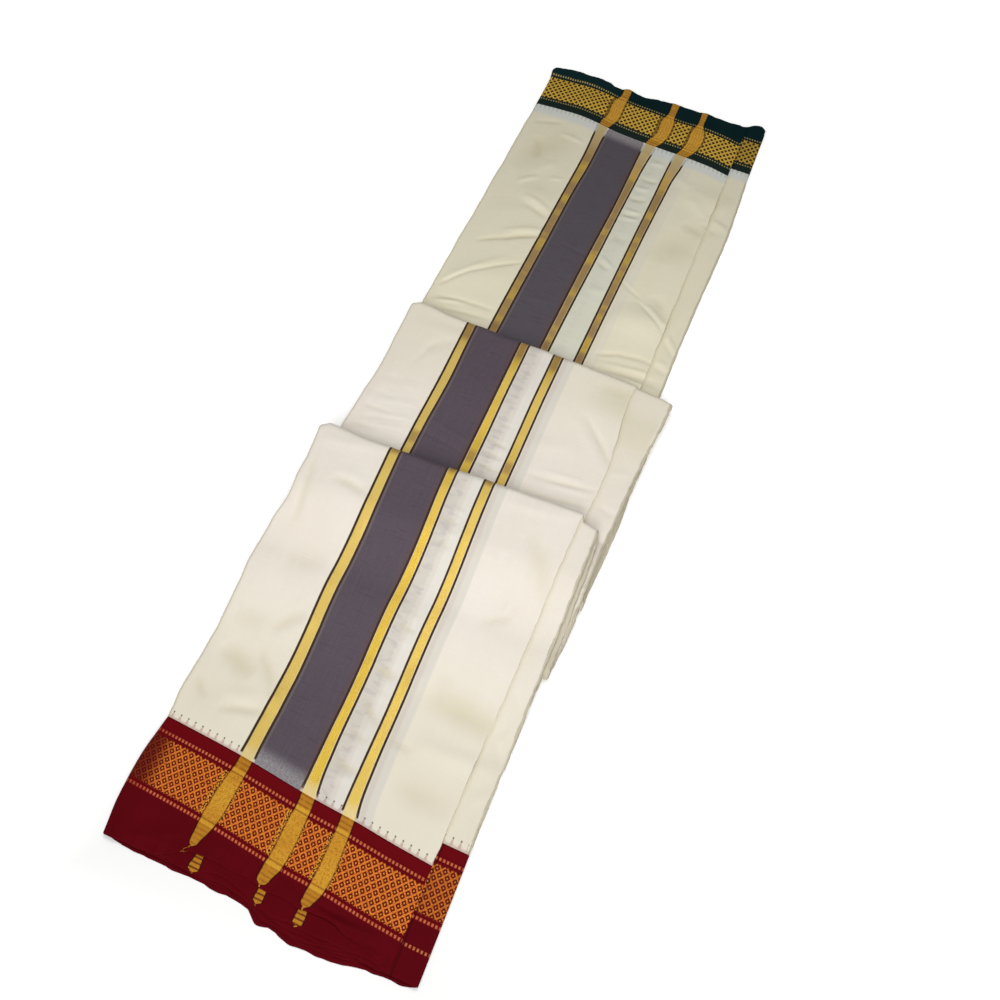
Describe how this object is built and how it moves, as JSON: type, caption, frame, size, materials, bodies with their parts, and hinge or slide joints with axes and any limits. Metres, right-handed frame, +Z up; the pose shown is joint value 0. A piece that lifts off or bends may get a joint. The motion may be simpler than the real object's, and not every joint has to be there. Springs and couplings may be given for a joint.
{
  "type": "folded dhoti cloth",
  "caption": "Cotton dhoti folded flat and lengthwise, then in a Z of three stretches, with a maroon border at one end and a green border at the other.",
  "frame": {"origin": "centre of the footprint, on the surface that the cloth lies on", "axes": "+Y along the folded packet towards the green border, +X across it towards the open layer edges, +Z up"},
  "size_m": [0.2283, 0.7392, 0.0297],
  "materials": {
    "cream_layers": "woven cotton, matt, folded edges",
    "cream_cloth": "woven cotton, fine and slightly lustrous, with woven gold and grey stripes",
    "maroon_border": "woven border with a gold lattice",
    "maroon_layers": "woven border, folded layers",
    "green_border": "woven border with a gold lattice",
    "green_layers": "woven border, folded layers"
  },
  "bodies": {
    "root": {"folded_layers": "cream_layers", "near_stretch": "cream_cloth", "middle_stretch": "cream_cloth", "far_stretch": "cream_cloth", "maroon_border": "maroon_border", "maroon_border_layers": "maroon_layers", "green_border": "green_border", "green_border_layers": "green_layers"}
  },
  "joints": []
}
